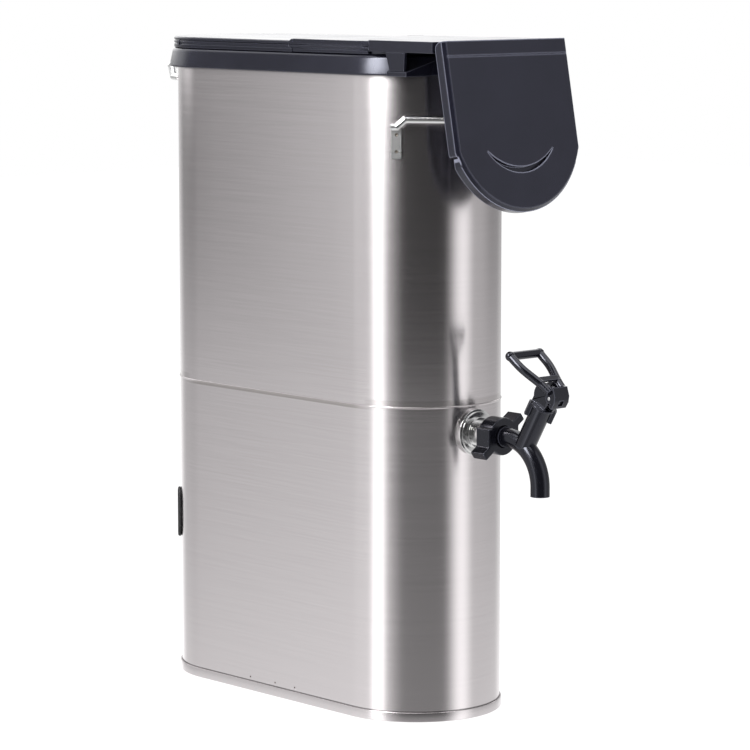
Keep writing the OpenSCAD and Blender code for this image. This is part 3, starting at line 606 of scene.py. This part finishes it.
def tank_outline():
    inner = END_R - SHEET
    return rounded(((END_R, SEAM_Z, TANK_LIP), (END_R, TANK_TOP, TANK_LIP),
                    (inner, TANK_TOP, TANK_LIP), (inner, SEAM_Z, TANK_LIP)))


def skirt_outline():
    """The skirt's sheet, with the seam's bead round its top."""
    inner = END_R - SHEET
    middle = SEAM_Z - SEAM_BEAD
    bead = [(END_R + SEAM_BEAD * math.cos(turn), middle + SEAM_BEAD * math.sin(turn), 0.0)
            for turn in map(math.radians, BEAD_DEGREES)]
    return rounded(((inner, SEAM_Z, 0.0), (inner, BASE_T, 0.0), (END_R, BASE_T, 0.0),
                    (END_R, middle - SEAM_BEAD, BEAD_HOLLOW), *bead))


def base_outline():
    inner = END_R + WELD_GAP
    outer = inner + BASE_T
    floor = inner - BASE_REACH
    return rounded(((floor, 0.0, 0.0), (outer, 0.0, BASE_FOOT), (outer, BASE_H, BASE_LIP_OUT),
                    (inner, BASE_H, BASE_LIP_IN), (inner, BASE_T, BASE_CORNER),
                    (floor, BASE_T, 0.0)))


# Weld marks


def tack_places():
    return [(Vector((side * END_R, along, TACK_Z)), Vector((side, 0.0, 0.0)))
            for side in (-1.0, 1.0) for along in TACK_ALONG]


def spot_places():
    places = []
    for node, end, angle, heights in (("front_handle", -1.0, FRONT_FOOT, FRONT_SPOTS),
                                      ("rear_handle", 1.0, REAR_FOOT, REAR_SPOTS)):
        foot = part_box(node)[0][2]
        for side in (-1.0, 1.0):
            out = Vector((side * math.sin(angle), end * math.cos(angle), 0.0))
            for height in heights:
                middle = Vector((0.0, end * HALF_STRAIGHT, foot + height))
                places.append((middle + out * (END_R + WELD_GAP + FOOT_T), out))
    return places


def weld_marks(name, places, radius):
    """Small raised rings with a dimple in the middle, each at a place and facing outwards."""
    shape = bmesh.new()
    turns = [2.0 * math.pi * i / MARK_STEPS for i in range(MARK_STEPS)]
    for place, out in places:
        facing = out.to_track_quat("Z", "Y")
        rings = []
        for r, h in MARK_OUTLINE:
            spots = [Vector((r * math.cos(turn), r * math.sin(turn), h)) for turn in turns]
            rings.append([shape.verts.new(place + facing @ spot * radius) for spot in spots])
        for ring, ahead in zip(rings, rings[1:]):
            for i in range(MARK_STEPS):
                k = (i + 1) % MARK_STEPS
                shape.faces.new((ring[i], ring[k], ahead[k], ahead[i]))
        shape.faces.new(rings[-1])
        shape.faces.new(rings[0][::-1])
    steel = brushed_steel(name + "_steel", colours().heat_mark, rough=0.4, streak=0.1,
                          lines=MARK_LINES)
    marks = finished_piece(name, shape, steel)
    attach(marks, "container")


class DISPENSER_OT_container(bpy.types.Operator):
    """Make the sheet of the tank, the skirt and the base, and finish the sheets inside"""

    bl_idname = "dispenser.container"
    bl_label = "Container"

    def execute(self, context):
        steel = colours().steel
        sheet = brushed_steel("brushed_sheet", steel, rough=0.22, streak=0.03,
                              lines=SHEET_LINES, welded=True)
        band = brushed_steel("brushed_band", steel, rough=0.24, streak=0.025, lines=SHEET_LINES)
        for name, node, outline, finish, filled in (
                ("tank_shell", "upper_tank", tank_outline(), sheet, False),
                ("skirt_shell", "lower_skirt", skirt_outline(), sheet, False),
                ("base_band", "base_pan", base_outline(), band, True)):
            piece = oval_ring(name, outline, finish, filled)
            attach(piece, "container")
            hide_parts(node)
        dress(INNER_SHEET, band, sizes().sheet_edge)
        weld_marks("tack_marks", tack_places(), TACK_R)
        return {"FINISHED"}


class DISPENSER_OT_fittings(bpy.types.Operator):
    """Finish the rod handles and the bright fittings, and make the valve's spring"""

    bl_idname = "dispenser.fittings"
    bl_label = "Handles and Fittings"

    def execute(self, context):
        bright = colours().bright
        for node in RODS:
            foot_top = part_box(node)[0][2] + FOOT_LEN
            rod = brushed_steel(node + "_steel", bright, rough=0.2, streak=0.03,
                                lines=ROD_LINES, dull_below=foot_top)
            dress((node,), rod, sizes().sheet_edge)
        weld_marks("spot_welds", spot_places(), SPOT_R)
        polished = bright_steel("polished_fittings", bright)
        dress(BRIGHT, polished, sizes().sheet_edge)
        coil_spring(polished)
        return {"FINISHED"}


class DISPENSER_OT_mouldings(bpy.types.Operator):
    """Finish the rim, the lid, the cover, the flap, the tap and the rubber pieces"""

    bl_idname = "dispenser.mouldings"
    bl_label = "Moulded Pieces"

    def execute(self, context):
        tone = colours()
        edge = sizes().edge
        # The mouldings' edge colours are painted highlights along their edges
        charcoal = moulded_plastic("charcoal_moulding", tone.plastic, rough=0.2,
                                   edge_highlight=tone.edge_highlight)
        flap = moulded_plastic("flap_moulding", tone.plastic, rough=0.2, edge_highlight=tone.flap_edge_highlight,
                               reach=1.5 * MM)
        black = moulded_plastic("tap_moulding", tone.tap_plastic, rough=0.16, edge_highlight=tone.edge_highlight)
        rubber = matt_rubber("black_rubber", tone.rubber)
        dress(MOULDED, charcoal, edge)
        dress(("front_flap",), flap, edge)
        dress(TAP_PLASTIC, black, edge)
        dress(RUBBERY, rubber, edge)
        return {"FINISHED"}


# Studio

CAMERA_PLACE = (-2.1200, -2.3937, 0.7197)
CAMERA_YAW = 0.7365043
CAMERA_PITCH = 0.1290420
CAMERA_LENS = 159.85
CAMERA_REACH = 50.0
SENSOR = 36.0

# What the world gives the object, and what the camera and the shiny surfaces see of it
WORLD_LIGHT = 0.55
WORLD_SEEN = 1.0
FLOOR_HALF = 6.0
# Share of the floor's own glow where it is seen directly, and the glow's level
FLOOR_GLOW_SHARE = 0.8
FLOOR_GLOW = 1.2

TENT_RADIUS = 1.7
TENT_LOW = -1.5
TENT_HIGH = 3.0
TENT_STEPS = 96
TENT_BASE = 0.05
TENT_ROOF = 2.5
# Panels of the light tent: the bearing of each in degrees, 0 being the front and 90 the right, half
# its width, the width of its soft edge, and its level
TENT_PANELS = {
    "left_wall": (-109.0, 18.0, 38.0, 0.65),
    "left_strip": (-90.5, 4.0, 10.0, 1.05),
    "rear_wall": (175.0, 17.5, 36.0, 0.55),
    "right_strip": (17.0, 0.5, 22.5, 0.8),
    "right_wall": (61.5, 33.5, 28.0, 0.5),
    "back_panel": (138.0, 16.0, 32.0, 0.75),
}
# How the panels change upwards: two bearings, and the share of light that is lost at each, below 0
# where it is gained. The change runs between two heights
TENT_FADES = ((-142.5, -131.0, 0.66, 0.0), (-132.0, -104.0, -0.15, 0.0), (44.0, 76.0, 0.0, 0.42))
FADE_HEIGHTS = (-0.25, 0.5)
# Light from the pale floor: the heights where it starts and where it is full, and its level
FLOOR_LIGHT = ((0.35, -0.2, 0.02), (-0.14, -0.44, 0.31))
# Soft box high on the left: bearing, half width and soft edge, the same for its height, its level
SOFTBOX_ACROSS = (-91.5, 6.0, 14.0)
SOFTBOX_UP = (1.62, 0.48, 0.13)
SOFTBOX_LEVEL = 19.0
# Bright wall at the back above the rim: bearing, half width and soft edge, the heights where it
# starts and where it is full, and its level
BACK_ACROSS = (150.0, 45.0, 25.0)
BACK_HEIGHTS = (0.58, 0.8)
BACK_LEVEL = 1.3

# Soft lamps that light the dull surfaces: place, width and height, and watts
LAMP_AIM = (0.0, -0.05, 0.35)
LAMPS = {
    "left_softbox": ((-2.6, -0.6, 1.6), (1.2, 1.8), 26.0),
    "front_softbox": ((0.9, -2.8, 1.5), (1.0, 1.6), 20.0),
    "top_softbox": ((-0.2, -0.2, 2.6), (1.6, 1.6), 22.0),
}


def studio_camera():
    data = bpy.data.cameras.new("photo_camera")
    data.sensor_width = SENSOR
    data.sensor_height = SENSOR
    data.lens = CAMERA_LENS
    data.clip_end = CAMERA_REACH
    camera = new_object("photo_camera", data)
    camera.location = CAMERA_PLACE
    camera.rotation_euler = (math.pi / 2 - CAMERA_PITCH, 0.0, -CAMERA_YAW)
    bpy.context.scene.camera = camera


def seen_directly(nodes):
    """1 for rays from the camera and for mirror or clear rays, else 0."""
    path = nodes.add("ShaderNodeLightPath").outputs
    seen = nodes.calc("MAXIMUM", path["Is Camera Ray"], path["Is Glossy Ray"])
    return nodes.calc("MAXIMUM", seen, path["Is Transmission Ray"])


def studio_world():
    world = bpy.data.worlds.new("studio_world")
    world.use_nodes = True
    bpy.context.scene.world = world
    nodes = Nodes(world.node_tree)
    back = world.node_tree.nodes["Background"].inputs
    back["Color"].default_value = (1.0, 1.0, 1.0, 1.0)
    level = nodes.ramp(seen_directly(nodes), 0.0, 1.0, WORLD_LIGHT, WORLD_SEEN)
    nodes.link(level, back["Strength"])


class StageFinish(Nodes):
    """A new material for the stage, with no shader yet."""

    def __init__(self, name):
        self.material = bpy.data.materials.new(name)
        self.material.use_nodes = True
        self.material.node_tree.nodes.clear()
        super().__init__(self.material.node_tree)

    def glow(self, level):
        node = self.add("ShaderNodeEmission")
        self.feed(level, node.inputs["Strength"])
        return node.outputs["Emission"]

    def show(self, shader):
        self.link(shader, self.add("ShaderNodeOutputMaterial").inputs["Surface"])
        return self.material


def floor_material(colour):
    """A pale floor that takes the object's shadow and is seen a little brighter than it is."""
    finish = StageFinish("pale_floor")
    paint = finish.add("ShaderNodeBsdfDiffuse")
    paint.inputs["Color"].default_value = (*colour, 1.0)
    mix = finish.add("ShaderNodeMixShader")
    finish.link(finish.times(seen_directly(finish), FLOOR_GLOW_SHARE), mix.inputs["Fac"])
    finish.link(paint.outputs["BSDF"], mix.inputs[1])
    finish.link(finish.glow(FLOOR_GLOW), mix.inputs[2])
    return finish.show(mix.outputs["Shader"])


def studio_floor(colour):
    mesh = bpy.data.meshes.new("studio_floor")
    corners = [(x * FLOOR_HALF, y * FLOOR_HALF, 0.0)
               for x, y in ((-1, -1), (1, -1), (1, 1), (-1, 1))]
    mesh.from_pydata(corners, [], [(0, 1, 2, 3)])
    mesh.materials.append(floor_material(colour))
    floor = new_object("studio_floor", mesh)
    floor.visible_glossy = False


def tent_material():
    finish = StageFinish("tent_panels")
    across, along, height = finish.axes()
    front = finish.times(along, -1.0)
    bearing = finish.calc("DEGREES", finish.calc("ARCTAN2", across, front))

    def panel(middle, half, soft):
        off = finish.calc("WRAP", finish.minus(bearing, middle), 180.0, -180.0)
        return finish.window(off, 0.0, half, soft)

    level = TENT_BASE
    for middle, half, soft, power in TENT_PANELS.values():
        level = finish.plus(level, finish.times(panel(middle, half, soft), power))
    lost = 0.0
    for fade in TENT_FADES:
        lost = finish.plus(lost, finish.ease(bearing, *fade))
    lost = finish.times(lost, finish.ease(height, *FADE_HEIGHTS))
    level = finish.times(level, finish.minus(1.0, lost))
    for start, full, power in FLOOR_LIGHT:
        level = finish.plus(level, finish.ease(height, start, full, 0.0, power))
    box = finish.times(panel(*SOFTBOX_ACROSS), finish.window(height, *SOFTBOX_UP))
    level = finish.plus(level, finish.times(box, SOFTBOX_LEVEL))
    back = finish.times(panel(*BACK_ACROSS), finish.ease(height, *BACK_HEIGHTS, 0.0, BACK_LEVEL))
    level = finish.plus(level, back)
    return finish.show(finish.glow(level))


def roof_material():
    finish = StageFinish("tent_roof")
    return finish.show(finish.glow(TENT_ROOF))


def light_tent():
    """A round tent of light and dark panels that only the shiny surfaces see."""
    turns = [2.0 * math.pi * i / TENT_STEPS for i in range(TENT_STEPS)]
    verts = [(TENT_RADIUS * math.cos(turn), TENT_RADIUS * math.sin(turn), z)
             for z in (TENT_LOW, TENT_HIGH) for turn in turns]
    faces = []
    for i in range(TENT_STEPS):
        k = (i + 1) % TENT_STEPS
        faces.append((i, k, TENT_STEPS + k, TENT_STEPS + i))
    faces.append(tuple(range(TENT_STEPS, 2 * TENT_STEPS)))
    mesh = bpy.data.meshes.new("light_tent")
    mesh.from_pydata(verts, [], faces)
    mesh.materials.append(tent_material())
    mesh.materials.append(roof_material())
    mesh.polygons[TENT_STEPS].material_index = 1
    tent = new_object("light_tent", mesh)
    tent.visible_camera = False
    tent.visible_diffuse = False
    tent.visible_shadow = False
    tent.visible_transmission = False


def soft_lamp(name, place, size, watts):
    data = bpy.data.lights.new(name, "AREA")
    data.shape = "RECTANGLE"
    data.size, data.size_y = size
    data.energy = watts
    lamp = new_object(name, data)
    lamp.location = place
    way = Vector(LAMP_AIM) - Vector(place)
    lamp.rotation_euler = way.to_track_quat("-Z", "Y").to_euler()
    lamp.visible_glossy = False


class DISPENSER_OT_stage(bpy.types.Operator):
    """Set up the floor, the lights and the camera"""

    bl_idname = "dispenser.stage"
    bl_label = "Studio"

    def execute(self, context):
        context.scene.view_settings.view_transform = "Standard"
        studio_camera()
        studio_world()
        studio_floor(colours().floor)
        light_tent()
        for name, (place, size, watts) in LAMPS.items():
            soft_lamp(name, place, size, watts)
        return {"FINISHED"}


class DISPENSER_PT_panel(bpy.types.Panel):
    """Lists the dispenser's finishing steps"""

    bl_label = "Dispenser"
    bl_space_type = "VIEW_3D"
    bl_region_type = "UI"
    bl_category = "Dispenser"

    def draw(self, context):
        for operator in OPERATORS:
            self.layout.operator(operator.bl_idname)


OPERATORS = (DISPENSER_OT_container, DISPENSER_OT_fittings, DISPENSER_OT_mouldings,
             DISPENSER_OT_stage)
CLASSES = (DispenserColours, DispenserSizes, *OPERATORS, DISPENSER_PT_panel)


def register():
    for item in CLASSES:
        bpy.utils.register_class(item)
    bpy.types.Scene.dispenser_colours = bpy.props.PointerProperty(type=DispenserColours)
    bpy.types.Scene.dispenser_sizes = bpy.props.PointerProperty(type=DispenserSizes)


def unregister():
    del bpy.types.Scene.dispenser_sizes
    del bpy.types.Scene.dispenser_colours
    for item in reversed(CLASSES):
        bpy.utils.unregister_class(item)


def main():
    register()
    bpy.ops.dispenser.container()
    bpy.ops.dispenser.fittings()
    bpy.ops.dispenser.mouldings()
    bpy.ops.dispenser.stage()


if __name__ == "__main__":
    main()
